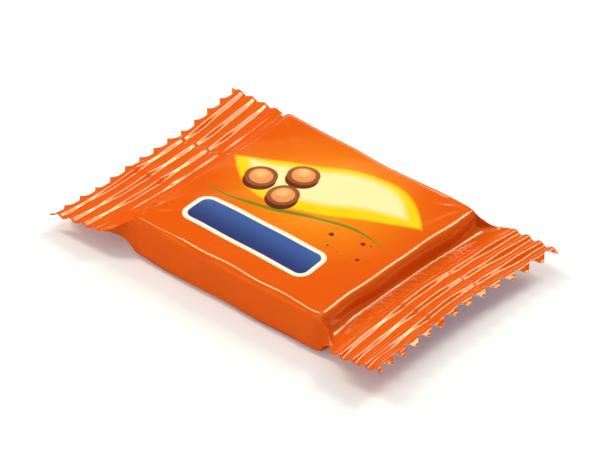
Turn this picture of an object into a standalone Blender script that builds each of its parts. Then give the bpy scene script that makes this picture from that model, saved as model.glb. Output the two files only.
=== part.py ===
"""A mini chocolate bar in its shut flow wrap: one closed pack of printed film, lying on its back.

Metres, +Z up. The length runs along X, the width along Y. The origin is under the middle of the
pack, at the level that it lies on. The film is one tube, so the half of its girth round the bar is
also the width of the flat end seals, and each shoulder is ruled straight from the boxy body to the
seal. A fin seam lies folded flat along the back, and the pack rests on it.
"""

import math

import bmesh
import bpy

MM = 0.001

# Driving dimensions
PACK_LENGTH = 54.0 * MM       # from tooth tips to tooth tips
BODY_WIDTH = 29.4 * MM
BODY_HEIGHT = 6.2 * MM        # over the film at the body's sides, without the fin and the crown
BODY_FLAT_LENGTH = 31.0 * MM  # of the flat top, between the two shoulders
EDGE_RADIUS = 1.2 * MM        # of the four long edges
CROWN = 0.4 * MM              # how far the middle of the top stands above its edges

SEAL_DEPTH = 8.5 * MM         # of each end seal, along the pack
SEAL_THICKNESS = 0.4 * MM
RIDGE_PITCH = 2.0 * MM        # of the crimp, whose ridges run across the pack
RIDGE_RISE = 0.25 * MM        # from the seal's middle plane to a ridge or a groove
TOOTH_COUNT = 13              # along each cut edge
TOOTH_DEPTH = 1.1 * MM

FIN_THICKNESS = 0.4 * MM
FIN_WIDTH = 9.0 * MM
FIN_FOLD_Y = -4.0 * MM        # where the fin leaves the tube; it lies from there towards +Y
FIN_STEP = 0.15 * MM          # the run of the small slope at each long edge of the fin

BEND_RADIUS = 0.7 * MM        # half the run over which a shoulder turns into body or seal
SEAL_INWARD_PULL = 0.5 * MM   # how far the middle of a seal is drawn in against its corners
SEAL_LIFT = {-1: -0.7 * MM, 1: 0.6 * MM}    # of each cut edge's middle, at the -X and the +X end
SEAL_TWIST = {-1: 0.5 * MM, 1: -0.4 * MM}   # of each cut edge's +Y corner, beyond the lift

NODE_NAME = "wrapped_bar"
FILM_COLOUR = (0.847, 0.136, 0.004, 1.0)
FILM_ROUGHNESS = 0.28

# Worked out from them
QUARTER_GIRTH = BODY_WIDTH / 2 + BODY_HEIGHT / 2 - EDGE_RADIUS * (2 - math.pi / 2)
SEAL_WIDTH = 2 * QUARTER_GIRTH
MIDDLE_Z = FIN_THICKNESS + BODY_HEIGHT / 2
SEAL_START = PACK_LENGTH / 2 - SEAL_DEPTH
SHOULDER_START = BODY_FLAT_LENGTH / 2
TOOTH_PITCH = SEAL_WIDTH / TOOTH_COUNT


def clear_scene():
    for item in list(bpy.data.objects):
        bpy.data.objects.remove(item, do_unlink=True)


def triangle_wave(distance, pitch):
    """A zigzag of the given pitch, 0 at distance 0 and 1 half a pitch on."""
    share = (distance / pitch) % 1.0
    return 1.0 - abs(2.0 * share - 1.0)


def flattening(reach):
    """0 over the body, 1 on a seal, and a straight ramp with eased ends along the shoulder."""
    run = SEAL_START - SHOULDER_START
    ease = BEND_RADIUS

    def eased_corner(distance):
        if distance <= -ease:
            return 0.0
        if distance >= ease:
            return distance
        return (distance + ease) ** 2 / (4 * ease)

    return (eased_corner(reach - SHOULDER_START) - eased_corner(reach - SEAL_START)) / run


def body_section(across):
    """Y and the height over the middle plane, at a distance across the sheet from its middle line."""
    side = math.copysign(1.0, across)
    distance = abs(across)
    flat = BODY_WIDTH / 2 - EDGE_RADIUS
    arc = EDGE_RADIUS * math.pi / 2
    if distance <= flat:
        crown = CROWN * (1 - (distance / flat) ** 2)
        return side * distance, BODY_HEIGHT / 2, crown
    if distance <= flat + arc:
        turn = (distance - flat) / EDGE_RADIUS
        y = flat + EDGE_RADIUS * math.sin(turn)
        return side * y, BODY_HEIGHT / 2 - EDGE_RADIUS * (1 - math.cos(turn)), 0.0
    return side * BODY_WIDTH / 2, BODY_HEIGHT / 2 - EDGE_RADIUS - (distance - flat - arc), 0.0


def fin_cover(across):
    """1 where the fin lies under the back, 0 beside it."""
    from_fold = (across - FIN_FOLD_Y) / FIN_STEP
    from_edge = (FIN_FOLD_Y + FIN_WIDTH - across) / FIN_STEP
    return min(1.0, max(0.0, min(from_fold, from_edge) + 1.0))


def seal_bend(reach, across, end):
    """How far the middle plane of a seal stands off the pack's own, as the film is limp there."""
    out = max(0.0, (reach - SEAL_START) / SEAL_DEPTH)
    return (SEAL_LIFT[end] + SEAL_TWIST[end] * across / QUARTER_GIRTH) * out ** 1.5


def film_point(along, across, sheet):
    """A point of the front sheet (sheet 1) or the back sheet (sheet -1) of the tube."""
    end = 1 if along >= 0 else -1
    reach = abs(along)
    flat = flattening(reach)
    y_body, height, crown = body_section(across)
    y = y_body + (across - y_body) * flat
    half_gap = SEAL_THICKNESS / 2
    z = sheet * (half_gap + max(0.0, height - half_gap) * (1 - flat))
    if sheet > 0:
        z += crown * (1 - flat) * (1 - (reach / SEAL_START) ** 4)
    else:
        z -= FIN_THICKNESS * fin_cover(across)
    z += crimp(reach - SEAL_START)
    pull = SEAL_INWARD_PULL * (1 - (across / QUARTER_GIRTH) ** 2) * flat
    x = end * (reach - pull)
    return x, y, MIDDLE_Z + z + seal_bend(reach, across, end)


def crimp(into_seal):
    """Height of the ridges and grooves pressed into both sheets, growing from 0 over the first half ridge."""
    if into_seal <= 0:
        return 0.0
    growing = min(1.0, 2 * into_seal / RIDGE_PITCH)
    return RIDGE_RISE * growing * (2 * triangle_wave(into_seal, RIDGE_PITCH) - 1)


def cut_edge(across):
    """How far from the middle the zigzag cut runs, at a distance across the seal."""
    return PACK_LENGTH / 2 - TOOTH_DEPTH * triangle_wave(across + QUARTER_GIRTH, TOOTH_PITCH)


def columns():
    """The distances across a sheet: the teeth's tips and roots, the long edges and the fin's edges."""
    teeth = [-QUARTER_GIRTH + i * TOOTH_PITCH / 2 for i in range(2 * TOOTH_COUNT + 1)]
    flat = BODY_WIDTH / 2 - EDGE_RADIUS
    arc = EDGE_RADIUS * math.pi / 2
    edges = [flat + arc * share for share in (0.0, 1 / 3, 2 / 3, 1.0)]
    edges += [-edge for edge in edges]
    fin = [FIN_FOLD_Y - FIN_STEP, FIN_FOLD_Y]
    fin += [FIN_FOLD_Y + FIN_WIDTH, FIN_FOLD_Y + FIN_WIDTH + FIN_STEP]
    kept = sorted(edges + fin)
    clear = 0.3 * MM
    kept += [tooth for tooth in teeth if all(abs(tooth - other) > clear for other in kept)]
    return sorted(kept)


def reaches():
    """Distances from the pack's middle at which the tube is cut into rings, up to the teeth's roots."""
    body = [BODY_FLAT_LENGTH / 2 * share for share in (0.0, 0.5, 0.85)]
    shoulder = [SHOULDER_START + BEND_RADIUS * share for share in (-1.0, 0.0, 1.0)]
    shoulder += [SEAL_START - BEND_RADIUS]
    ridges = []
    reach = SEAL_START
    while reach < PACK_LENGTH / 2 - TOOTH_DEPTH:
        ridges.append(reach)
        reach += RIDGE_PITCH / 2
    return body + shoulder + ridges


def build_pack():
    mesh = bmesh.new()
    across_all = columns()
    half = reaches()
    alongs = [-reach for reach in reversed(half[1:])] + half

    def ring_at(along_of):
        front = [mesh.verts.new(film_point(along_of(v), v, 1)) for v in across_all]
        back = [mesh.verts.new(film_point(along_of(v), v, -1)) for v in reversed(across_all)]
        return front + back

    rings = [ring_at(lambda v: -cut_edge(v))]
    rings += [ring_at(lambda v, along=along: along) for along in alongs]
    rings += [ring_at(cut_edge)]
    count = len(rings[0])
    for near, far in zip(rings, rings[1:]):
        for i in range(count):
            j = (i + 1) % count
            mesh.faces.new((near[i], near[j], far[j], far[i]))
    for ring in (rings[0], rings[-1]):
        for i in range(count // 2 - 1):
            mesh.faces.new((ring[i], ring[i + 1], ring[count - 2 - i], ring[count - 1 - i]))
    bmesh.ops.recalc_face_normals(mesh, faces=mesh.faces)
    data = bpy.data.meshes.new(NODE_NAME)
    mesh.to_mesh(data)
    mesh.free()
    return data


def film_material():
    material = bpy.data.materials.new("printed_film")
    material.use_nodes = True
    shader = material.node_tree.nodes["Principled BSDF"]
    shader.inputs["Base Color"].default_value = FILM_COLOUR
    shader.inputs["Roughness"].default_value = FILM_ROUGHNESS
    shader.inputs["Metallic"].default_value = 0.0
    return material


def main():
    clear_scene()
    data = build_pack()
    data.materials.append(film_material())
    data.shade_smooth()
    data.set_sharp_from_angle(angle=math.radians(30))
    pack = bpy.data.objects.new(NODE_NAME, data)
    bpy.context.scene.collection.objects.link(pack)


main()
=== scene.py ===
# %% [markdown]
# # A mini chocolate bar in its wrap
#
# The real thing is a small bar of chocolate in a flow wrap. One sheet of thin glossy printed film
# is turned into a tube round the bar. Its two long edges are welded into a fin that lies folded
# along the back, and each end is pressed flat between ribbed jaws and cut off with a zigzag knife.
# Nothing of the bar can be seen, so everything that shows is film. This lesson makes that film as
# the packing machine does: a flat sheet of known size settles on the bar until it lies right.
#
# First the solid model is loaded. It gives the size and the place of everything that follows.

# %% Load the solid model as the frame
import math

import bpy
import numpy as np
from mathutils import Matrix, Vector


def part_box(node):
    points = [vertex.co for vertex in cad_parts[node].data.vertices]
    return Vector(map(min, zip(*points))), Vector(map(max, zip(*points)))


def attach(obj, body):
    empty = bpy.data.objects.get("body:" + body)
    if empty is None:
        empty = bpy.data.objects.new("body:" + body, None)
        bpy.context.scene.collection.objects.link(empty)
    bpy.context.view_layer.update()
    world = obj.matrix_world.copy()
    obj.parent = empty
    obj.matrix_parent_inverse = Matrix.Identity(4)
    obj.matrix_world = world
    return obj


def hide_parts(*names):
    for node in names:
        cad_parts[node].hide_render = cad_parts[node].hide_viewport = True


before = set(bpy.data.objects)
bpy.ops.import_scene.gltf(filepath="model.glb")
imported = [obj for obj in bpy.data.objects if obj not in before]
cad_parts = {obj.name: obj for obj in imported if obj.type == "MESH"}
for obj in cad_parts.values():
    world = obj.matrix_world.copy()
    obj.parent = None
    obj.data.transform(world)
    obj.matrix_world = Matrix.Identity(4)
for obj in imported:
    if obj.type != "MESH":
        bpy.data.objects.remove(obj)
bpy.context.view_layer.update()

MM = 0.001
low_corner, high_corner = (np.array(corner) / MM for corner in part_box("wrapped_bar"))
PACK_LENGTH, PACK_WIDTH, PACK_HEIGHT = high_corner - low_corner
print(f"the pack is {PACK_LENGTH:.1f} x {PACK_WIDTH:.1f} x {PACK_HEIGHT:.1f} mm")

# %% [markdown]
# ## The film as a grid of points
#
# Film hardly stretches, but it bends easily. A grid of points behaves like it when each point
# keeps its distance to its neighbours. The rows run round the tube and the columns along it.
# Column 0 is the side fold at -Y, the middle column the one at +Y, and the front sheet is the half
# between them. The zigzag needs a whole number of cells in each tooth, so that its tips and roots
# fall on columns, and this sets the size of a cell. All lengths here are in millimetres.

# %% Lay out the grid
TOOTH_COUNT = 13           # zigzag teeth along each cut edge
CELLS_PER_TOOTH = 6
FILM_LENGTH = 39.6         # of film from seal to seal, measured on the flat sheet
SEAL_ROWS = 2              # rows of each seal that take part in the settling
TINY = 1e-6                # a length that counts as none
NEVER_ZERO = 1e-9          # added to a length that something is divided by

half_width = PACK_WIDTH / 2
half_film = FILM_LENGTH / 2
columns = 2 * TOOTH_COUNT * CELLS_PER_TOOTH
body_rows = 2 * round(FILM_LENGTH / (2 * PACK_WIDTH / columns) / 2)
row_step = FILM_LENGTH / body_rows
rows = body_rows + 1 + 2 * SEAL_ROWS
print(f"{rows} rows of {columns} points, {row_step:.2f} mm apart")


# %% Where each row and column is on the flat sheet
def row_places(row_count, step):
    """Distance of each row from the pack's middle, measured along the film."""
    return (np.arange(row_count) - (row_count - 1) / 2) * step


def column_places(column_count):
    """Distance round the tube from the side fold at -Y, distance across, and 1 or -1 for the sheet."""
    round_tube = np.arange(column_count) * 2 * PACK_WIDTH / column_count
    front = round_tube <= PACK_WIDTH
    across = np.where(front, round_tube - half_width, 3 * half_width - round_tube)
    return round_tube, across, np.where(front, 1.0, -1.0)


# %% [markdown]
# ## A first guess at the shape
#
# Settling is quick when it starts near the answer. Each row is a mix of two outlines of the same
# girth: a box round the bar, and the flat seal. In the shoulder between them the mix changes
# evenly, which rules it with straight lines, as taut film would be. A little random roughness
# gives the folds something to grow from. Its seed is fixed, so the folds are the same each time.

# %% Start shape
BODY_HEIGHT = 6.2          # of the tube round the bar
BODY_LENGTH = 31.2         # of the bar inside
START_ROUGHNESS = 0.03
START_SEED = 11


def start_shape():
    """Points of the coarse grid before the settling, measured from the middle of the tube."""
    along = row_places(rows, row_step)
    _, across, sheet = column_places(columns)
    reach, distance = np.abs(along), np.abs(across)
    side_start = (PACK_WIDTH - BODY_HEIGHT) / 2
    y_box = np.sign(across) * np.minimum(distance, side_start)
    z_box = sheet * (BODY_HEIGHT / 2 - np.maximum(distance - side_start, 0))
    slope_film = half_film - BODY_LENGTH / 2
    slope_run = math.sqrt(slope_film ** 2 - (BODY_HEIGHT / 2) ** 2)
    flat = np.clip((reach - BODY_LENGTH / 2) / slope_film, 0, 1)
    x = np.minimum(reach, BODY_LENGTH / 2) + flat * slope_run + np.maximum(reach - half_film, 0)
    points = np.empty((rows, columns, 3))
    points[..., 0] = (np.sign(along) * x)[:, None]
    points[..., 1] = y_box * (1 - flat[:, None]) + across * flat[:, None]
    points[..., 2] = z_box * (1 - flat[:, None])
    random = np.random.default_rng(START_SEED)
    return points + random.normal(0, START_ROUGHNESS, points.shape)


# %% [markdown]
# ## The rules that settle the film
#
# Blender's Cloth could do this too, but thin film that hardly stretches and lies close on its bar
# is easier to steer with a short solver of our own. In each round, neighbours move back to their
# flat distance, points two cells apart resist bending, the bar pushes out what has sunk into it,
# and each seal is held as a stiff band that can only slide, bow and tilt. Pairs are sorted into
# groups that share no point, so that numpy can move a whole group at once.

# %% Pairs of points that keep their distance
def pair_groups(row_count, column_count, down, round_by, rest, stiffness):
    """Pairs each point with the one that many cells away, in two groups that share no point."""
    index = np.arange(row_count * column_count).reshape(row_count, column_count)
    groups = []
    for phase in (0, 1):
        if down:
            near = np.array([r for r in range(row_count - down) if (r // down) % 2 == phase])
            first, second = index[near], np.roll(index, -round_by, axis=1)[near + down]
        else:
            near = np.array([c for c in range(column_count) if (c // round_by) % 2 == phase])
            first, second = index[:, near], index[:, (near + round_by) % column_count]
        groups.append((first.ravel(), second.ravel(), rest, stiffness))
    return groups


DIAGONAL_STIFFNESS = 0.6


def film_pairs(row_count, column_count, step, bending):
    width_step = 2 * PACK_WIDTH / column_count
    diagonal = math.hypot(step, width_step)
    layout = [(0, 1, width_step, 1.0), (1, 0, step, 1.0),
              (1, 1, diagonal, DIAGONAL_STIFFNESS), (1, -1, diagonal, DIAGONAL_STIFFNESS),
              (0, 2, 2 * width_step, bending), (2, 0, 2 * step, bending)]
    return [group for pair in layout for group in pair_groups(row_count, column_count, *pair)]


# %% The bar pushes the film out
BAR_SIZE = np.array([BODY_LENGTH, 29.2, 6.1])          # along, across and up
BAR_EDGE_RADIUS = 1.15
BAR_DOME = 0.42            # how far the middle of its top stands above the edges
BAR_PLACE = np.array([0.2, -0.15, -0.12])              # it never lies quite in the tube's middle
BAR_TURN = math.radians(0.6)               # nor quite straight


def push_out(points):
    """Moves points that are inside the bar, a box with round edges and a domed top, to its surface."""
    turn = np.array(Matrix.Rotation(-BAR_TURN, 3, "Z"))
    half = BAR_SIZE / 2
    local = (points - BAR_PLACE) @ turn
    share = np.clip(1 - (local[..., :2] / half[:2]) ** 2, 0, 1)
    dome = BAR_DOME * share[..., 0] * share[..., 1] * np.clip(local[..., 2] / half[2], 0, 1)
    local[..., 2] -= dome
    over = np.abs(local) - (half - BAR_EDGE_RADIUS)
    outside = np.maximum(over, 0)
    length = np.linalg.norm(outside, axis=-1, keepdims=True)
    depth = length[..., 0] + np.minimum(over.max(axis=-1), 0) - BAR_EDGE_RADIUS
    straight_way = np.eye(3)[over.argmax(axis=-1)]
    way = np.where(length > TINY, outside / (length + NEVER_ZERO), straight_way)
    local -= np.minimum(depth, 0)[..., None] * way * np.sign(local)
    local[..., 2] += dome
    return local @ turn.T + BAR_PLACE


print(f"the bar is {BAR_SIZE[0]} x {BAR_SIZE[1]} x {BAR_SIZE[2]} mm")

# %% Each end seal stays one flat band
SEAL_SLOPE = {-1: -0.085, 1: 0.07}         # rise of each seal away from the body
SEAL_SHRINK = 0.978        # heat makes the seal a little narrower, which puckers the film next to it
SEAL_PULL = 0.002          # how far the jaws pull a seal outwards in each round


def hold_seals(points, along, across):
    """Fits a smooth band to the mean of both sheets at a seal's root, and puts the seal's rows on it."""
    middle = points.shape[1] // 2
    for end in (-1, 1):
        seal_rows = np.where(along * end > half_film - TINY)[0]
        root = points[seal_rows[0] if end > 0 else seal_rows[-1]]
        mean = (root[:middle + 1] + np.roll(root[::-1], 1, axis=0)[:middle + 1]) / 2
        fit = [np.polynomial.Polynomial.fit(across[:middle + 1], mean[:, k], deg=2)(across) for k in (0, 2)]
        for row in seal_rows:
            out = along[row] * end - half_film
            x, z = fit[0] + end * (out + SEAL_PULL), fit[1] + SEAL_SLOPE[end] * out
            points[row] = np.stack([x, across * SEAL_SHRINK, z], axis=1)


# %% The film's normal at each point
def surface_normals(points):
    normal = np.cross(np.gradient(points, axis=0), np.roll(points, -1, 1) - np.roll(points, 1, 1))
    return normal / (np.linalg.norm(normal, axis=-1, keepdims=True) + NEVER_ZERO)


# %% One round after another
SHEET_GAP = 0.05           # kept between the front and the back sheet
DRIFT = 0.9                # how much of its last move a point keeps


def settle(points, step, rounds, bending, cling):
    """Lets the film settle. cling is the inward pull of each round, in mm, as air leaves the pack."""
    row_count, column_count = points.shape[:2]
    along = row_places(row_count, step)
    _, across, _ = column_places(column_count)
    groups = film_pairs(row_count, column_count, step, bending)
    front = np.arange(column_count // 2 + 1)
    back = -front % column_count
    before = points.copy()
    for _ in range(rounds):
        moved = (points - before) * DRIFT
        before = points.copy()
        points = points + moved - cling * surface_normals(points)
        flat = points.reshape(-1, 3)
        for first, second, rest, stiffness in groups:
            gap = flat[second] - flat[first]
            length = np.sqrt((gap * gap).sum(axis=1, keepdims=True)) + NEVER_ZERO
            shift = gap * (0.5 * stiffness * (1 - rest / length))
            flat[first] += shift
            flat[second] -= shift
        points = push_out(points)
        points[..., 2] = np.maximum(points[..., 2], -BODY_HEIGHT / 2)
        overlap = np.maximum(SHEET_GAP - points[:, front, 2] + points[:, back, 2], 0) / 2
        points[:, front, 2] += overlap
        points[:, back, 2] -= overlap
        hold_seals(points, along, across)
    print(f"after {rounds} rounds the film moves {np.abs(points - before).max():.4f} mm in a round")
    return points


# %% [markdown]
# ## Settle coarsely, then finely
#
# Most of the work is done on a coarse grid, where a fold needs few rounds to travel. Then every
# cell is split in four and the film settles a little more, which sharpens the creases. Wobbles that
# are only a cell wide are no folds of the real film, so they are eased out, most of all in the
# gussets.

# %% Ease out wobbles that are only a cell wide
def eased(points, passes, share=0.25):
    """Moves each point towards the mean of its four neighbours, by one share or by one for each point."""
    share = np.broadcast_to(share, points.shape[:2])[1:-1, :, None]
    for _ in range(passes):
        around = np.roll(points, 1, 1) + np.roll(points, -1, 1)
        mean = (around[1:-1] + points[:-2] + points[2:]) / 4
        points = np.concatenate([points[:1], points[1:-1] + share * (mean - points[1:-1]), points[-1:]])
    return points


# %% Split every cell in four
def doubled(points):
    """The same surface with twice as many cells each way, the new points on smooth curves."""
    def between(a, b, c, d):
        return (9 * (b + c) - (a + d)) / 16

    new_columns = between(np.roll(points, 1, 1), points, np.roll(points, -1, 1), np.roll(points, -2, 1))
    wide = np.stack([points, new_columns], axis=2).reshape(len(points), -1, 3)
    padded = np.concatenate([2 * wide[:1] - wide[1:2], wide, 2 * wide[-1:] - wide[-2:-1]])
    fine = np.empty((2 * len(wide) - 1, wide.shape[1], 3))
    fine[0::2] = wide
    fine[1::2] = between(padded[:-3], padded[1:-2], padded[2:-1], padded[3:])
    return fine


# %% Settle
COARSE_ROUNDS, FINE_ROUNDS = ((900, 120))
COARSE_PASSES, FINE_PASSES = 2, 3          # of easing after each settling

fine_step = row_step / 2
film = settle(start_shape(), row_step, COARSE_ROUNDS, bending=0.08, cling=0.0012)
film = doubled(eased(film, COARSE_PASSES))
film = settle(film, fine_step, FINE_ROUNDS, bending=0.25, cling=0.001)
film = eased(film, FINE_PASSES)

# %% Calm the gussets, where the side folds turn in under the seals
GUSSET_REACH = 3.2         # from a side fold
GUSSET_START = 14.0        # along the film from the pack's middle
GUSSET_PASSES = 40
GUSSET_SHARE = 0.5         # of the way to its neighbours' mean that a point moves in each pass

along_film = np.abs(row_places(len(film), fine_step))[:, None]
from_fold = half_width - np.abs(column_places(film.shape[1])[1])
calm = np.clip(along_film - GUSSET_START, 0, 1) * np.clip(half_film - along_film, 0, 1)
calm = calm * np.clip(2 * (1 - from_fold / GUSSET_REACH), 0, 1)
film = eased(film, GUSSET_PASSES, GUSSET_SHARE * calm)
print("settled film from", film.min(axis=(0, 1)).round(2), "to", film.max(axis=(0, 1)).round(2))

# %% [markdown]
# ## Soft dents
#
# A pack that has been handled is never as flat as its bar. The settling gives the folds, and this
# adds the shallow dents between them: a sum of slow waves of random direction, moved along the
# surface's normal. A Displace modifier with a noise texture would be shorter, but waves can be told
# to go round the tube a whole number of times, so that they meet themselves, and to fade out
# towards the stiff seals. The back lies on the table and only dents inwards.

# %% Dents from slow waves
WAVE_COUNT = 16
WAVES_ROUND = (3, 10)      # fewest waves round the tube, and one more than the most
WAVES_ALONG = 0.13         # most waves for each millimetre along it
DENT_DEPTH = 0.075         # of a usual dent
DENT_FADE = 3.0            # distance from a seal over which the dents begin
DENT_SEED = 5


def raised(points, height):
    """Moves the film along its normals by a height at each point, but not below the level of its back."""
    points = points + surface_normals(points) * height[..., None]
    points[..., 2] = np.maximum(points[..., 2], -BODY_HEIGHT / 2)
    return points


def dented(points, step):
    along = row_places(len(points), step)[:, None]
    around = np.arange(points.shape[1]) * 2 * math.pi / points.shape[1]
    random = np.random.default_rng(DENT_SEED)
    depth = np.zeros(points.shape[:2])
    for _ in range(WAVE_COUNT):
        phase = 2 * math.pi * (random.uniform(-WAVES_ALONG, WAVES_ALONG) * along + random.random())
        depth += np.sin(random.integers(*WAVES_ROUND) * around + phase)
    depth *= DENT_DEPTH / math.sqrt(WAVE_COUNT / 2) * np.clip((half_film - np.abs(along)) / DENT_FADE, 0, 1)
    print(f"dents and bumps of up to {np.abs(depth).max():.2f} mm")
    return raised(points, depth)


film = dented(film, fine_step)

# %% [markdown]
# Film that is pulled over a corner also wrinkles, and its short creases fan out from there over the
# top. The settling could give them on a much finer grid, but cells of half the size take it more
# than four times as long. A crease is a narrow straight ridge that fades along its length, so each
# one is worked out from where it starts, which way it turns and how long it is.

# %% Short creases that fan out from the body's corners
CREASE_COUNT = 3           # from each corner
CREASE_CORNER = (14.6, 13.4)               # where a fan starts, along and across from the middle
CREASE_START = (0.3, 1.6)  # shortest and longest distance from there to a crease
CREASE_TURN = np.radians((12, 78))         # least and most turn, from along the pack to across it
CREASE_LENGTH = (3.5, 8.0)
CREASE_HEIGHT = 0.16
CREASE_WIDTH = 0.34
CREASE_HEAD = 1 / 6        # share of a crease in which it rises to its full height
CREASE_SEED = 4


def creased(points, step):
    """Lifts narrow straight ridges, highest near a corner of the body and fading towards the middle."""
    along = row_places(len(points), step)[:, None]
    _, across, _ = column_places(points.shape[1])
    random = np.random.default_rng(CREASE_SEED)
    height = np.zeros(points.shape[:2])
    for end in (-1, 1):
        for side in (-1, 1):
            inward = CREASE_CORNER[0] - end * along
            sideways = CREASE_CORNER[1] - side * across
            for turn in random.uniform(*CREASE_TURN, CREASE_COUNT):
                run = inward * math.cos(turn) + sideways * math.sin(turn) - random.uniform(*CREASE_START)
                off = sideways * math.cos(turn) - inward * math.sin(turn)
                share = run / random.uniform(*CREASE_LENGTH)
                fade = np.clip(1 - share, 0, 1) ** 2 * np.clip(share / CREASE_HEAD, 0, 1)
                height += CREASE_HEIGHT * fade * np.exp(-(off / CREASE_WIDTH) ** 2)
    return raised(points, height)


film = creased(film, fine_step)
print("the film's top is", round(film[..., 2].max(), 2), "mm over its middle")

# %% [markdown]
# ## The crimped ends
#
# The jaws press ridges that run across the pack into both sheets at once, and the knife cuts a
# zigzag. Both are regular, so they are worked out and not simulated. Each seal carries on from the
# settled film's last row and ends where the solid does. The ridges are rounded but steep, like the
# jaws that made them. Jaws never press quite evenly, so slow waves make the ridges deeper in some
# places, which breaks up the light on them, and let the limp cut edge rise and fall. The fin runs
# through both seals, and its two more layers show on the front as a faint raised band.

# %% Sizes of a seal
ROOT_ROW = 2 * SEAL_ROWS   # where a seal begins, counted in rows of the fine grid from its end
TOOTH_DEPTH = 1.1
RIDGE_PITCH = 2.0
RIDGE_RISE = 0.24          # from the seal's middle plane to a ridge or a groove
RIDGE_SHARPNESS = 1.4      # near 0 a ridge is a plain sine wave, and more makes its slopes steeper
SEAL_THICKNESS = 0.12      # of both sheets together
SEAL_TWIST = {-1: 0.5, 1: -0.4}            # rise of each cut edge's +Y corner
SEAL_LIMPNESS = 1.5        # the power of the way out by which a seal's twist and slow waves grow
SEAL_STEP = 0.2            # between its rows of points
TOOTH_ROWS = 5             # rows of points over which the last straight one becomes the zigzag
FOLD_ROUNDING = 0.35       # distance from a side fold over which the sheets come together
FIN_WIDTH = 9.0
FIN_FOLD_Y = -4.0          # where the fin leaves the tube; it lies from there towards +Y
FIN_LIFT = 0.12            # how far the fin's layers lift the film in a seal
FIN_SLOPE_RUN = 0.6        # over which the film comes down beside the fin


def zigzag(distance, pitch):
    """0 at distance 0, 1 half a pitch on, and straight between."""
    return 1 - np.abs(2 * ((distance / pitch) % 1.0) - 1)


def crimp(out):
    """Height of the ridges at a distance into a seal. They grow from 0 over the first half pitch."""
    wave = np.sin(2 * math.pi * (out / RIDGE_PITCH - 0.25))
    shaped = np.tanh(RIDGE_SHARPNESS * wave) / math.tanh(RIDGE_SHARPNESS)
    return RIDGE_RISE * shaped * np.clip(2 * out / RIDGE_PITCH, 0, 1)


def fin_lift(across):
    """How far the fin's layers lift a seal, at a distance across it."""
    inside = np.minimum(across - FIN_FOLD_Y, FIN_FOLD_Y + FIN_WIDTH - across)
    return FIN_LIFT * np.clip(inside / FIN_SLOPE_RUN + 0.5, 0, 1)


# %% Slow waves across a seal: height, turn for each millimetre, phase, and its shift from end to end
EDGE_WAVES = ((0.16, 0.33, 1.7, -0.9), (0.08, 0.81, 3.4, -1.8))
JAW_WAVES = ((0.14, 0.42, 0.0, 2.1), (0.09, 1.05, 0.0, 0.8))


def slow_waves(waves, across, end):
    return sum(height * np.sin(turn * across + phase + shift * end) for height, turn, phase, shift in waves)


print(f"ridges have at least {1 - sum(wave[0] for wave in JAW_WAVES):.2f} of their usual height")


# %% Rows from each seal's root out to the cut
def seal_points(film, end):
    """Points of one seal, row by row outwards, and their distance along the flat film."""
    _, across, sheet = column_places(film.shape[1])
    root = film[-1 - ROOT_ROW] if end > 0 else film[ROOT_ROW]
    from_fold = np.clip((half_width - np.abs(across)) / FOLD_ROUNDING, 0, 1)
    sheet_offset = sheet * SEAL_THICKNESS / 2 * np.sqrt(from_fold)
    depth = PACK_LENGTH / 2 - (root[:, 0] * end).max()
    straight = np.arange(SEAL_STEP, depth - TOOTH_DEPTH, SEAL_STEP)
    cut = depth - TOOTH_DEPTH * zigzag(across + half_width, PACK_WIDTH / TOOTH_COUNT)
    outs = [np.full(len(across), out) for out in straight]
    outs += [straight[-1] + (cut - straight[-1]) * (k + 1) / TOOTH_ROWS for k in range(TOOTH_ROWS)]
    outs = np.array(outs)
    print("the seal at the", {-1: "-X", 1: "+X"}[end], "end is", round(depth, 2), "mm deep")
    freedom = (outs / depth) ** SEAL_LIMPNESS
    pressure = 1 + slow_waves(JAW_WAVES, across, end)
    z = root[:, 2] + SEAL_SLOPE[end] * outs + crimp(outs) * pressure + sheet_offset
    z += np.clip(2 * outs / RIDGE_PITCH, 0, 1) * fin_lift(across)
    z += freedom * (SEAL_TWIST[end] * across / half_width + slow_waves(EDGE_WAVES, across, end))
    points = np.stack([root[:, 0] + end * outs, np.broadcast_to(across * SEAL_SHRINK, outs.shape), z], axis=2)
    return points, end * (half_film + outs)


def with_seals(film):
    body = film[ROOT_ROW:-ROOT_ROW]
    body_along = np.repeat(row_places(len(body), fine_step)[:, None], body.shape[1], axis=1)
    left, left_along = seal_points(film, -1)
    right, right_along = seal_points(film, 1)
    return (np.concatenate([left[::-1], body, right]),
            np.concatenate([left_along[::-1], body_along, right_along]))


tube, film_along = with_seals(film)
print(f"tip to tip {tube[..., 0].max() - tube[..., 0].min():.2f} mm, solid {PACK_LENGTH:.2f} mm")

# %% [markdown]
# ## The mesh of the tube
#
# The grid becomes a mesh in one go with from_pydata. The two cut edges are closed with narrow
# faces between the sheets, because there the pale core of the film shows. A UV map holds each
# point's place on the flat sheet in tenths of a metre, so that the print can be designed flat, as
# it was printed, and then bends with the film.

# %% A mesh from grids of points
FIN_THICKNESS = 0.4        # room under the tube's back for the fin
MIDDLE_Z = FIN_THICKNESS + BODY_HEIGHT / 2
UV_SCALE = 0.01            # UV units for each millimetre of film
SHARP_ANGLE = math.radians(60)             # edges that turn by more aren't shaded smooth


def grid_faces(row_count, column_count):
    """Faces of a grid that is closed round its columns, pointing out where the columns turn upward at -Y."""
    near = np.arange(row_count * column_count).reshape(row_count, column_count)
    side = np.roll(near, -1, axis=1)
    return np.stack([near[:-1], near[1:], side[1:], side[:-1]], axis=2).reshape(-1, 4)


def cap_faces(ring, turned):
    """Faces between the two halves of a flat ring, a triangle at each end and quads between."""
    count = len(ring)
    faces = []
    for i in range(count // 2):
        corners = [ring[i], ring[i + 1], ring[-i - 1], ring[-i]]
        face = list(dict.fromkeys(corners))
        faces.append(face if turned else face[::-1])
    return faces


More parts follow.
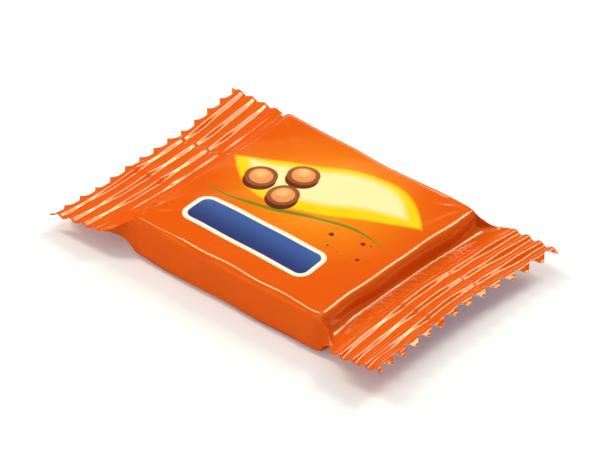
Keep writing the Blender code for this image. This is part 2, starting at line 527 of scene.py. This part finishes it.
# %% Each face corner's place on the flat film
def unwrap(mesh, wall_count, flat_along, flat_round):
    """Adds the UV map. Where the last column meets the first one, the film goes on and doesn't jump back."""
    corner_points = np.empty(len(mesh.loops), dtype=np.int32)
    mesh.loops.foreach_get("vertex_index", corner_points)
    uv = np.stack([flat_along.ravel()[corner_points], flat_round.ravel()[corner_points]], axis=1)
    corners = np.arange(4 * wall_count)
    closing = (corner_points[corners] % flat_round.shape[1] == 0) & np.isin(corners % 4, (2, 3))
    uv[corners[closing], 1] = flat_round.max() + flat_round[0, 1] - flat_round[0, 0]
    mesh.uv_layers.new(name="film").data.foreach_set("uv", (uv * UV_SCALE).ravel())


# %% A piece of film from its grid
def film_piece(name, points, flat_along, flat_round, body_material, cut_material):
    """A closed mesh of film: its grid of points, its two cut ends, and its UV map."""
    row_count, column_count = points.shape[:2]
    faces = [list(face) for face in grid_faces(row_count, column_count)]
    wall_count = len(faces)
    first, last = np.arange(column_count), np.arange(column_count) + (row_count - 1) * column_count
    faces += cap_faces(list(first), False) + cap_faces(list(last), True)
    mesh = bpy.data.meshes.new(name)
    mesh.from_pydata((points * MM).reshape(-1, 3), [], faces)
    mesh.materials.append(body_material)
    mesh.materials.append(cut_material)
    mesh.polygons.foreach_set("material_index", [int(i >= wall_count) for i in range(len(faces))])
    unwrap(mesh, wall_count, flat_along, flat_round)
    mesh.shade_smooth()
    mesh.set_sharp_from_angle(angle=SHARP_ANGLE)
    piece = bpy.data.objects.new(name, mesh)
    bpy.context.scene.collection.objects.link(piece)
    print(name, len(mesh.polygons), "faces")
    return piece


# %% [markdown]
# ## Colours of the print
#
# Every colour is one flat ink, written as its sRGB value, which is how one reads it off a swatch,
# and turned into the linear value that Blender's sockets take.

# %% Inks
def ink(red, green, blue):
    """An sRGB colour from 0 to 255 as the linear colour of a socket."""
    def linear(value):
        share = value / 255
        return share / 12.92 if share <= 0.04045 else ((share + 0.055) / 1.055) ** 2.4

    return (linear(red), linear(green), linear(blue), 1.0)


ORANGE = ink(222, 92, 2)
GOLD = ink(250, 172, 20)
YELLOW = ink(250, 216, 12)
CREAM = ink(255, 244, 190)
WHITE = ink(250, 248, 242)
NAVY = ink(42, 58, 128)
BLUE = ink(60, 98, 178)
BROWN = ink(98, 42, 26)
COCOA = ink(150, 84, 50)
TAN = ink(226, 158, 96)
PALE_TAN = ink(246, 198, 142)
GREEN = ink(118, 136, 34)
PALE_CORE = ink(250, 225, 205)

# %% [markdown]
# ## A small kit for shader nodes
#
# The print is a drawing made of distances: how far is this point of the film from a line, a disc
# or a rounded plate? Each shape needs a handful of Math nodes, so a short helper that adds one
# node and wires its inputs keeps the drawing readable. The same helpers serve every material.

# %% Helpers for nodes
def wire(tree, socket, value):
    """Links a socket to another one, or sets its own value."""
    if isinstance(value, bpy.types.NodeSocket):
        tree.links.new(value, socket)
    else:
        socket.default_value = value


def math_node(tree, operation, first, second=0.0, third=0.0):
    node = tree.nodes.new("ShaderNodeMath")
    node.operation = operation
    for socket, value in zip(node.inputs, (first, second, third)):
        wire(tree, socket, value)
    return node.outputs[0]


def mask_below(tree, distance, soft):
    """1 where a distance in millimetres is under 0, 0 where it is over, with a soft edge."""
    node = tree.nodes.new("ShaderNodeMapRange")
    node.interpolation_type = "SMOOTHSTEP"
    for name, value in (("From Min", -soft / 2), ("From Max", soft / 2), ("To Min", 1.0), ("To Max", 0.0)):
        node.inputs[name].default_value = value
    tree.links.new(distance, node.inputs["Value"])
    return node.outputs["Result"]


def paint(tree, under, colour, mask):
    """Lays a colour over another one where a mask is 1."""
    node = tree.nodes.new("ShaderNodeMix")
    node.data_type = "RGBA"
    wire(tree, node.inputs[0], mask)
    wire(tree, node.inputs[6], under)
    wire(tree, node.inputs[7], colour)
    return node.outputs[2]


# %% The place of a point on the flat film, in millimetres
def film_place(tree):
    """Distance along from the pack's middle, and distance round the tube from the middle of the front."""
    uv_map = tree.nodes.new("ShaderNodeUVMap")
    uv_map.uv_map = "film"
    split = tree.nodes.new("ShaderNodeSeparateXYZ")
    tree.links.new(uv_map.outputs[0], split.inputs[0])
    along = math_node(tree, "DIVIDE", split.outputs[0], UV_SCALE)
    around = math_node(tree, "MULTIPLY_ADD", split.outputs[1], 1 / UV_SCALE, -half_width)
    return along, around


# %% Distances to simple shapes
WAVE_TURN = 0.75 * math.pi                 # of a ribbon's wave, from its middle to its end


def slant(tree, first, second):
    """Length of the slanted side of a right triangle."""
    squares = math_node(tree, "MULTIPLY_ADD", first, first, math_node(tree, "MULTIPLY", second, second))
    return math_node(tree, "SQRT", squares)


def to_disc(tree, place, centre, radius):
    off = [math_node(tree, "SUBTRACT", value, middle) for value, middle in zip(place, centre)]
    return math_node(tree, "SUBTRACT", slant(tree, *off), radius)


def to_plate(tree, place, centre, size, corner):
    """Distance to a rounded rectangle of the given size, in millimetres."""
    over = []
    for value, middle, extent in zip(place, centre, size):
        off = math_node(tree, "ABSOLUTE", math_node(tree, "SUBTRACT", value, middle))
        over.append(math_node(tree, "MAXIMUM", math_node(tree, "SUBTRACT", off, extent / 2 - corner), 0.0))
    return math_node(tree, "SUBTRACT", slant(tree, *over), corner)


def to_ribbon(tree, place, wave, centre, half_length, half_thickness):
    """Distance to a ribbon that waves along the pack and tapers to a point at each end."""
    share = math_node(tree, "DIVIDE", math_node(tree, "SUBTRACT", place[0], centre[0]), half_length)
    angle = math_node(tree, "MULTIPLY", share, WAVE_TURN)
    line = math_node(tree, "MULTIPLY_ADD", math_node(tree, "SINE", angle), wave, centre[1])
    taper = math_node(tree, "SUBTRACT", 1.0, math_node(tree, "MULTIPLY", share, share))
    off = math_node(tree, "ABSOLUTE", math_node(tree, "SUBTRACT", place[1], line))
    return math_node(tree, "SUBTRACT", off, math_node(tree, "MULTIPLY", taper, half_thickness))


# %% [markdown]
# ## The printed front and back
#
# The front has a waving yellow ribbon with a cream heart, three round chocolates at its left, a
# green line and some crumbs under it, and a blank blue plate along the near edge. An image would
# be quicker, but shapes that are worked out stay sharp at any distance, and one number moves them.
# Places are given in millimetres from the middle of the front.

# %% Ribbon, line and plate
INK_EDGE = 0.12            # softness of a printed edge
# The gold patch behind the ribbon is the print's glow and also a painted sheen, lightening much of the top as
# a reflection would.
GLOW_AND_SHEEN_CENTRE, GLOW_AND_SHEEN_RADIUS, GLOW_AND_SHEEN_FADE = (0.0, 3.0), 9.5, 13.0            # of the gold behind the ribbon
GLOW_AND_SHEEN_STRENGTH = 0.55       # share of gold in its middle
RIBBON_WAVE = 2.4          # how far the ribbon's middle line swings
RIBBON_CENTRE, RIBBON_HALF = (-0.3, 4.8), (13.6, 5.4)     # half its length, and half its thickness
RIBBON_EDGE = 0.8          # over which its yellow melts into the orange
HEART_CENTRE, HEART_HALF, HEART_EDGE = (-0.6, 5.2), (11.2, 3.7), 1.6
LINE_CENTRE, LINE_HALF = (-0.3, -1.5), (13.4, 0.33)
PLATE_CENTRE, PLATE_SIZE, PLATE_CORNER = (-1.2, -8.0), (19.0, 4.4), 1.1
PLATE_BORDER = 0.65


def fill(tree, colour, print_ink, distance, soft=INK_EDGE):
    """Prints an ink over a colour where the distance to a shape is under 0."""
    return paint(tree, colour, print_ink, mask_below(tree, distance, soft))


def draw_ribbon(tree, place, colour):
    # Printed glow and painted sheen: a soft gold patch over the middle of the top.
    glow_and_sheen = mask_below(tree, to_disc(tree, place, GLOW_AND_SHEEN_CENTRE, GLOW_AND_SHEEN_RADIUS), GLOW_AND_SHEEN_FADE)
    colour = paint(tree, colour, GOLD, math_node(tree, "MULTIPLY", glow_and_sheen, GLOW_AND_SHEEN_STRENGTH))
    ribbon = to_ribbon(tree, place, RIBBON_WAVE, RIBBON_CENTRE, *RIBBON_HALF)
    colour = fill(tree, colour, YELLOW, ribbon, RIBBON_EDGE)
    heart = to_ribbon(tree, place, RIBBON_WAVE, HEART_CENTRE, *HEART_HALF)
    colour = fill(tree, colour, CREAM, heart, HEART_EDGE)
    line = to_ribbon(tree, place, RIBBON_WAVE, LINE_CENTRE, *LINE_HALF)
    return fill(tree, colour, GREEN, line)


def draw_plate(tree, place, colour):
    plate = to_plate(tree, place, PLATE_CENTRE, PLATE_SIZE, PLATE_CORNER)
    colour = fill(tree, colour, WHITE, math_node(tree, "SUBTRACT", plate, PLATE_BORDER))
    fade = mask_below(tree, math_node(tree, "SUBTRACT", PLATE_CENTRE[1], place[1]), PLATE_SIZE[1])
    return fill(tree, colour, paint(tree, NAVY, BLUE, fade), plate)


print("the print's plate is", PLATE_SIZE[0], "x", PLATE_SIZE[1], "mm")

# %% Three round chocolates, from the far one to the near one
ROUND_PLACES = ((-4.6, 5.2), (-8.5, 1.7), (-3.8, 0.4))
ROUND_RADIUS = 2.1
FILLING_RADIUS = 1.5
GLEAM_RADIUS, GLEAM_EDGE = 0.7, 1.3        # of the lighter patch on each filling
ROUND_INKS = (((0.35, -0.75), ROUND_RADIUS, INK_EDGE, BROWN),
              ((0.0, 0.0), ROUND_RADIUS, INK_EDGE, COCOA),
              ((0.0, 0.0), FILLING_RADIUS, INK_EDGE, TAN),
              ((-0.4, 0.45), GLEAM_RADIUS, GLEAM_EDGE, PALE_TAN))     # shift, radius, edge and ink


def draw_rounds(tree, place, colour):
    for centre in ROUND_PLACES:
        for shift, radius, soft, print_ink in ROUND_INKS:
            disc = to_disc(tree, place, (centre[0] + shift[0], centre[1] + shift[1]), radius)
            colour = fill(tree, colour, print_ink, disc, soft)
    return colour


# %% Crumbs beside them, from a Voronoi pattern
CRUMBS_FOR_MM = 0.5        # cells of the pattern for each millimetre
CRUMB_SIZE, CRUMB_LEAST = 0.22, 0.02       # radius of the largest, and what is taken off all, in cells
CRUMB_PATCH = (9.0, -2.4), (9.0, 5.0), 1.0             # centre, size and corner of where they lie
CRUMB_PATCH_EDGE = 3.0


def draw_crumbs(tree, place, colour):
    spot = tree.nodes.new("ShaderNodeCombineXYZ")
    wire(tree, spot.inputs[0], place[0])
    wire(tree, spot.inputs[1], place[1])
    cells = tree.nodes.new("ShaderNodeTexVoronoi")
    cells.voronoi_dimensions = "2D"
    cells.inputs["Scale"].default_value = CRUMBS_FOR_MM
    wire(tree, cells.inputs["Vector"], spot.outputs[0])
    chance = tree.nodes.new("ShaderNodeSeparateColor")
    wire(tree, chance.inputs[0], cells.outputs["Color"])
    patch = mask_below(tree, to_plate(tree, place, *CRUMB_PATCH), CRUMB_PATCH_EDGE)
    size = math_node(tree, "MULTIPLY", math_node(tree, "MULTIPLY", chance.outputs[0], CRUMB_SIZE), patch)
    radius = math_node(tree, "SUBTRACT", size, CRUMB_LEAST)
    off = math_node(tree, "SUBTRACT", cells.outputs["Distance"], radius)
    return fill(tree, colour, BROWN, off, INK_EDGE * CRUMBS_FOR_MM)


# %% [markdown]
# The back has a row of yellow lozenges on one side of the fin, and three blank cream stripes on the
# other. The row is one lozenge repeated: the distance is measured to the nearest of them only, so
# five cost as many nodes as one.

# %% The back
LOZENGE_ROW = -9.2         # place across
LOZENGE_PITCH, LOZENGE_COUNT = 5.2, 5
LOZENGE_RADIUS, LOZENGE_CORE = 2.3, 0.9    # from the middle to a corner, of the whole and of its cream core
STRIPE_ROWS = {7.6: 18.0, 9.4: 18.0, 11.2: 12.0}       # place across: length of each stripe
STRIPE_START = -9.0        # place along where they all begin
STRIPE_THICKNESS = 0.7


def draw_lozenges(tree, place, colour):
    across = math_node(tree, "ABSOLUTE", math_node(tree, "SUBTRACT", place[1], PACK_WIDTH - LOZENGE_ROW))
    number = math_node(tree, "ROUND", math_node(tree, "DIVIDE", place[0], LOZENGE_PITCH))
    last = (LOZENGE_COUNT - 1) / 2
    nearest = math_node(tree, "MINIMUM", math_node(tree, "MAXIMUM", number, -last), last)
    along = math_node(tree, "SUBTRACT", place[0], math_node(tree, "MULTIPLY", nearest, LOZENGE_PITCH))
    reach = math_node(tree, "ADD", math_node(tree, "ABSOLUTE", along), across)
    for radius, print_ink in ((LOZENGE_RADIUS, YELLOW), (LOZENGE_CORE, CREAM)):
        colour = fill(tree, colour, print_ink, math_node(tree, "SUBTRACT", reach, radius))
    return colour


def draw_stripes(tree, place, colour):
    for across, length in STRIPE_ROWS.items():
        centre = (STRIPE_START + length / 2, PACK_WIDTH - across)
        stripe = to_plate(tree, place, centre, (length, STRIPE_THICKNESS), STRIPE_THICKNESS / 2)
        colour = fill(tree, colour, CREAM, stripe)
    return colour


# %% [markdown]
# ## The film's small unevenness
#
# Printed film is never quite flat: it has faint streaks along the way it ran through the machine,
# and shallow dents from handling. They are only hundredths of a millimetre high, which shows in the
# gloss and not in the outline, so they go into the material's bump. The fin is the same film, so the
# effect is a node group that every film material uses.

# %% A node group for ripples
STREAK_NOISE = (0.06, 1.6, 2.0)            # cells for a millimetre along and around, and detail
DENT_NOISE = (0.45, 0.6, 3.0)
RUB_NOISE = (0.5, 1.1, 4.0)


def ripple_group():
    group = bpy.data.node_groups.new("film_ripple", "ShaderNodeTree")
    sockets = {"INPUT": ("Along", "Around", "Streaks", "Dents"), "OUTPUT": ("Height", "Rub")}
    for direction, names in sockets.items():
        for name in names:
            group.interface.new_socket(name=name, in_out=direction, socket_type="NodeSocketFloat")
    source = group.nodes.new("NodeGroupInput")
    result = group.nodes.new("NodeGroupOutput")

    def noise(along_scale, around_scale, detail):
        spot = group.nodes.new("ShaderNodeCombineXYZ")
        wire(group, spot.inputs[0], math_node(group, "MULTIPLY", source.outputs["Along"], along_scale))
        wire(group, spot.inputs[1], math_node(group, "MULTIPLY", source.outputs["Around"], around_scale))
        texture = group.nodes.new("ShaderNodeTexNoise")
        texture.noise_dimensions = "2D"
        texture.inputs["Scale"].default_value = 1.0
        texture.inputs["Detail"].default_value = detail
        group.links.new(spot.outputs[0], texture.inputs["Vector"])
        return texture.outputs["Fac"]

    streaks = math_node(group, "MULTIPLY", noise(*STREAK_NOISE), source.outputs["Streaks"])
    dents = math_node(group, "MULTIPLY", noise(*DENT_NOISE), source.outputs["Dents"])
    wire(group, result.inputs["Height"], math_node(group, "ADD", streaks, dents))
    wire(group, result.inputs["Rub"], noise(*RUB_NOISE))
    return group


film_ripple = ripple_group()
print("film_ripple has", len(film_ripple.nodes), "nodes")


# %% [markdown]
# ## The materials
#
# The ink sits under a clear glossy layer, so the shader is a coloured base with a full coat over
# it. The base is rough, more so where the ripple group says that the film is rubbed, and gives a
# faint broad sheen. The sheen is tinted gold, because the ink lies on bright film and a white one
# would turn the orange pink. A metallic base would tint it too, but it would darken the print
# wherever nothing bright is mirrored. The coat is smooth and gives the thin bright lines along
# creases. The cut edges are bare film, paler than the print.

# %% Printed film
SMOOTH_FILM, RUBBED_FILM = 0.24, 0.38      # roughness of the ink, untouched and rubbed
SHEEN_LEVEL, SHEEN_TINT = 0.2, (1.0, 0.80, 0.25, 1.0)
COAT_ROUGHNESS = 0.10
RIPPLE_DISTANCE = 0.10 * MM                # height of a ripple
PRINTED_RIPPLES, PLAIN_RIPPLES = (0.25, 0.75), (0.6, 0.4)      # share of streaks and of dents


def film_shader(material, place, colour, ripple_shares):
    """Wires a colour and the ripple group into the material's shader."""
    tree = material.node_tree
    shader = tree.nodes["Principled BSDF"]
    wire(tree, shader.inputs["Base Color"], colour)
    shader.inputs["Specular IOR Level"].default_value = SHEEN_LEVEL
    shader.inputs["Specular Tint"].default_value = SHEEN_TINT
    shader.inputs["Coat Weight"].default_value = 1.0
    shader.inputs["Coat Roughness"].default_value = COAT_ROUGHNESS
    ripple = tree.nodes.new("ShaderNodeGroup")
    ripple.node_tree = film_ripple
    for name, value in zip(("Along", "Around", "Streaks", "Dents"), (*place, *ripple_shares)):
        wire(tree, ripple.inputs[name], value)
    rough = math_node(tree, "MULTIPLY_ADD", ripple.outputs["Rub"], RUBBED_FILM - SMOOTH_FILM, SMOOTH_FILM)
    wire(tree, shader.inputs["Roughness"], rough)
    bump = tree.nodes.new("ShaderNodeBump")
    bump.inputs["Strength"].default_value = 1.0
    bump.inputs["Distance"].default_value = RIPPLE_DISTANCE
    wire(tree, bump.inputs["Height"], ripple.outputs["Height"])
    wire(tree, shader.inputs["Normal"], bump.outputs[0])
    print(material.name, len(tree.nodes), "nodes")


def new_material(name):
    material = bpy.data.materials.new(name)
    material.use_nodes = True
    return material


def printed_film():
    material = new_material("printed_film")
    tree = material.node_tree
    place = film_place(tree)
    colour = ORANGE
    for draw in (draw_ribbon, draw_plate, draw_crumbs, draw_rounds, draw_lozenges, draw_stripes):
        colour = draw(tree, place, colour)
    film_shader(material, place, colour, PRINTED_RIPPLES)
    return material


def plain_film(name, colour):
    material = new_material(name)
    film_shader(material, film_place(material.node_tree), colour, PLAIN_RIPPLES)
    return material


front_film = printed_film()
fin_film = plain_film("fin_film", ORANGE)
cut_film = plain_film("cut_film", PALE_CORE)

# %% [markdown]
# ## The tube
#
# The tube is the larger of the two pieces. It settled round a middle plane at height 0, so it is
# lifted until there is room for the fin under its back. Its points are moved and not its object, so
# that the fin, which is made from them, finds them in place.

# %% Make the tube
round_tube, across_tube, sheet_side = column_places(tube.shape[1])
tube[..., 2] += MIDDLE_Z
film_round = np.broadcast_to(round_tube, tube.shape[:2])
film_wrap = film_piece("film_wrap", tube, film_along, film_round, front_film, cut_film)

# %% [markdown]
# ## The fin along the back
#
# Where the sheet's two long edges meet, they are welded face to face and folded over, so the back
# carries a flat flap as long as the pack. A straight strip would cut into the dented back. The fin's
# points are taken from the tube's own back instead and moved out along the surface's normal: close
# at the fold, further off at its free edge, which always springs up a little. In the end seals the
# jaws press it flat against the rest.

# %% Grid of the fin
FIN_FILM = 0.14            # thickness of the two welded layers
FIN_CLEARANCE = 0.02       # left between the fin and the back all over
FIN_SPRING = 0.16          # how far the free edge stands off the back
FIN_CURL = 1.5             # the power of the way from the fold by which that grows
FIN_WAVE, FIN_WAVE_LENGTH = 0.04, 11.4     # of its slow rise and fall along the pack
FIN_RIB, FIN_RIB_PITCH = 0.03, 1.3         # height and pitch of the weld's fine ribs
FIN_EDGE = 0.15            # distance from an edge over which it is rounded
FIN_PRESS_START, FIN_PRESS_RUN = 2.0, 2.5  # how far before a seal it starts to flatten, and over what length


def fin_points():
    """Points round the fin's thin outline, row by row, and their place on the flat film."""
    on_fin = (sheet_side < 0) & (across_tube >= FIN_FOLD_Y) & (across_tube <= FIN_FOLD_Y + FIN_WIDTH)
    under = np.where(on_fin)[0][::-1]
    base, outward = tube[:, under], surface_normals(tube)[:, under]
    share = (across_tube[under] - FIN_FOLD_Y) / FIN_WIDTH
    turn = 2 * math.pi * film_along[:, under]
    pressed = np.clip((np.abs(film_along[:, under]) - half_film + FIN_PRESS_START) / FIN_PRESS_RUN, 0, 1)
    free = 1 - pressed * pressed * (3 - 2 * pressed)
    edge = np.sqrt(np.clip(np.minimum(share, 1 - share) * FIN_WIDTH / FIN_EDGE, 0, 1))
    ribs = FIN_RIB * np.sin(turn / FIN_RIB_PITCH) * free * edge
    wave = FIN_WAVE * np.sin(turn / FIN_WAVE_LENGTH) * share
    stand_off = FIN_CLEARANCE + (FIN_SPRING * share ** FIN_CURL + wave) * free
    near = stand_off + ribs + FIN_FILM / 2 * (1 - edge)
    far = stand_off + ribs + FIN_FILM / 2 * (1 + edge)
    outer = base + outward * far[..., None]
    inner = base + outward * near[..., None]
    points = np.concatenate([outer, inner[:, ::-1]], axis=1)
    along = np.concatenate([film_along[:, under], film_along[:, under[::-1]]], axis=1)
    around = np.concatenate([share * FIN_WIDTH, (2 - share[::-1]) * FIN_WIDTH])
    return points, along, np.broadcast_to(around, along.shape)


fin, fin_along, fin_round = fin_points()
print(f"lowest point of the fin {fin[..., 2].min():.2f} mm over the floor")
back_fin = film_piece("back_fin", fin, fin_along, fin_round, fin_film, cut_film)

# %% [markdown]
# The tube and the fin are one sheet of film on the real pack, so both are attached to the same body,
# and the solid is hidden. They could be one mesh, but two keep each grid plain and closed.

# %% Attach the pieces to the body and hide the solid
for piece in (film_wrap, back_fin):
    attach(piece, "root")
    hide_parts("wrapped_bar")

# %% [markdown]
# ## Floor, light and camera
#
# A pale floor and soft light, as for a catalogue picture. Warm lamps would turn a white floor
# cream, so it is a little blue and glows faintly, like a light table. A white floor that the glossy
# sides mirror would turn them pink, so to a glossy ray it is dim and orange and doesn't glow.

# %% Floor
FLOOR_SIZE = 3.0           # of its side, in metres
FLOOR_COLOUR = (0.83, 0.90, 0.98, 1.0)
FLOOR_MIRRORED = (0.30, 0.11, 0.03, 1.0)
FLOOR_GLOW, FLOOR_GLOW_STRENGTH = (0.60, 0.80, 1.0, 1.0), 0.18
NO_GLOW = (0.0, 0.0, 0.0, 1.0)
FLOOR_ROUGHNESS, FLOOR_GLOSS = 0.7, 0.2


def floor_material():
    material = new_material("floor")
    tree = material.node_tree
    shader = tree.nodes["Principled BSDF"]
    glossy = tree.nodes.new("ShaderNodeLightPath").outputs["Is Glossy Ray"]
    wire(tree, shader.inputs["Base Color"], paint(tree, FLOOR_COLOUR, FLOOR_MIRRORED, glossy))
    wire(tree, shader.inputs["Emission Color"], paint(tree, FLOOR_GLOW, NO_GLOW, glossy))
    shader.inputs["Roughness"].default_value = FLOOR_ROUGHNESS
    shader.inputs["Specular IOR Level"].default_value = FLOOR_GLOSS
    shader.inputs["Emission Strength"].default_value = FLOOR_GLOW_STRENGTH
    return material


def make_floor():
    half = FLOOR_SIZE / 2
    corners = [(-half, -half, 0), (half, -half, 0), (half, half, 0), (-half, half, 0)]
    mesh = bpy.data.meshes.new("floor")
    mesh.from_pydata(corners, [], [(0, 1, 2, 3)])
    mesh.materials.append(floor_material())
    floor = bpy.data.objects.new("floor", mesh)
    bpy.context.scene.collection.objects.link(floor)
    print("the floor is", FLOOR_SIZE, "m wide")


make_floor()

# %% [markdown]
# Film is glossy, so what it mirrors matters more than how bright the lamps are. The flat top mirrors
# the dim world behind the pack and keeps its colour. A crease turns the mirror, and each kind of
# crease gets a lamp where it looks: the ridges of the seals one behind the pack on the right, the
# near edge one high at the left, the far edge a low one behind it, and the top's shallow dents a
# weak amber one. Their width sets the width of the bright lines. The lamp for the ridges has a
# narrow bright core, so that its bands are creamy in the middle and peach beside it, and a lamp over
# the near side lights them for who looks from behind. A cool lamp overhead lights the print evenly,
# and a reddish one keeps the shaded near side warm.

# %% Lamps
lamp_target = Vector((0, 0, MIDDLE_Z * MM))


def soft_lamp(name, direction, distance, size, power, colour):
    """A rectangular lamp that looks at the pack from a direction, size as width and height in metres."""
    lamp = bpy.data.lights.new(name, "AREA")
    lamp.shape = "RECTANGLE"
    lamp.color = colour
    lamp.size, lamp.size_y = size
    lamp.energy = power
    holder = bpy.data.objects.new(name, lamp)
    holder.location = lamp_target + Vector(direction).normalized() * distance
    holder.rotation_euler = (-Vector(direction)).to_track_quat("-Z", "Y").to_euler()
    bpy.context.scene.collection.objects.link(holder)
    print(f"{name} gives {power / (math.pi * size[0] * size[1]):.1f} W from each square metre and steradian")


WARM = (1.0, 0.84, 0.60)
AMBER = (1.0, 0.55, 0.12)
EMBER = (1.0, 0.40, 0.08)
COOL = (0.68, 0.86, 1.0)
RIDGE_MIRROR = (0.20, 0.605, 0.77)         # where the seals' ridges and the ends of the top look
soft_lamp("overhead", (0.05, 0.05, 1.0), 0.60, (0.50, 0.50), 0.55, COOL)
soft_lamp("left_top", (-0.526, -0.20, 0.83), 0.50, (0.08, 0.26), 1.1, WARM)
soft_lamp("right_back", RIDGE_MIRROR, 0.50, (0.18, 0.26), 0.90, WARM)
soft_lamp("right_back_core", RIDGE_MIRROR, 0.48, (0.05, 0.22), 0.48, WARM)
soft_lamp("left_back", (-0.60, 0.68, 0.36), 0.50, (0.34, 0.16), 0.10, AMBER)
soft_lamp("far_edge", (-0.526, 0.823, 0.215), 0.50, (0.30, 0.08), 0.15, WARM)
soft_lamp("near_side", (-0.25, -0.92, 0.30), 0.50, (0.40, 0.25), 0.62, EMBER)
soft_lamp("near_top", (-0.05, -0.62, 0.78), 0.50, (0.12, 0.26), 0.40, WARM)

# %% [markdown]
# The world fills the shadows. The camera sees it pale, it lights the pack softly, and it is almost
# dark where the film mirrors it, because a bright one would lay a grey veil over the print.

# %% World
WORLD_SEEN, WORLD_LIGHT, WORLD_MIRRORED = 0.95, 0.24, 0.04


def make_world():
    world = bpy.data.worlds.new("studio")
    world.use_nodes = True
    tree = world.node_tree
    rays = tree.nodes.new("ShaderNodeLightPath")
    glossy, seen = rays.outputs["Is Glossy Ray"], rays.outputs["Is Camera Ray"]
    level = math_node(tree, "MULTIPLY_ADD", glossy, WORLD_MIRRORED - WORLD_LIGHT, WORLD_LIGHT)
    level = math_node(tree, "MULTIPLY_ADD", seen, WORLD_SEEN - WORLD_LIGHT, level)
    background = tree.nodes["Background"]
    background.inputs["Color"].default_value = (1.0, 1.0, 1.0, 1.0)
    tree.links.new(level, background.inputs["Strength"])
    bpy.context.scene.world = world


make_world()
bpy.context.scene.view_settings.view_transform = "Standard"

# %% [markdown]
# The camera looks down on the pack at the angle of a long lens across a table. It is moved along
# its own axes until the pack's outline sits in the middle of a 600 x 450 frame.

# %% Camera
VIEW_AZIMUTH, VIEW_ELEVATION = math.radians(41.0), math.radians(36.7)
VIEW_DISTANCE = 1.2
SENSOR_WIDTH = 36.0
IMAGE_WIDTH, IMAGE_HEIGHT = 600, 450
FILL = 0.84                # share of the frame's width that the pack takes
OUTLINE_STEPS = (8, 4)     # every eighth row and fourth column are enough to find the outline


def make_camera():
    direction = Vector((math.sin(VIEW_AZIMUTH) * math.cos(VIEW_ELEVATION),
                        -math.cos(VIEW_AZIMUTH) * math.cos(VIEW_ELEVATION), math.sin(VIEW_ELEVATION)))
    turn = (-direction).to_track_quat("-Z", "Y")
    right, up = turn @ Vector((1, 0, 0)), turn @ Vector((0, 1, 0))
    some_points = tube[::OUTLINE_STEPS[0], ::OUTLINE_STEPS[1]].reshape(-1, 3)
    seen = [Vector(point) * MM for point in some_points]
    sides = [point.dot(right) for point in seen]
    heights = [point.dot(up) for point in seen]
    middle = right * (min(sides) + max(sides)) / 2 + up * (min(heights) + max(heights)) / 2
    width = max(max(sides) - min(sides), (max(heights) - min(heights)) * IMAGE_WIDTH / IMAGE_HEIGHT)
    data = bpy.data.cameras.new("camera")
    data.sensor_width = SENSOR_WIDTH
    data.lens = SENSOR_WIDTH * VIEW_DISTANCE * FILL / width
    data.dof.use_dof = False
    camera = bpy.data.objects.new("camera", data)
    camera.location = middle + direction * VIEW_DISTANCE
    camera.rotation_euler = turn.to_euler()
    bpy.context.scene.collection.objects.link(camera)
    bpy.context.scene.camera = camera
    print(f"lens {data.lens:.0f} mm, {IMAGE_WIDTH * FILL / (width / MM):.1f} pixels for each millimetre")


make_camera()
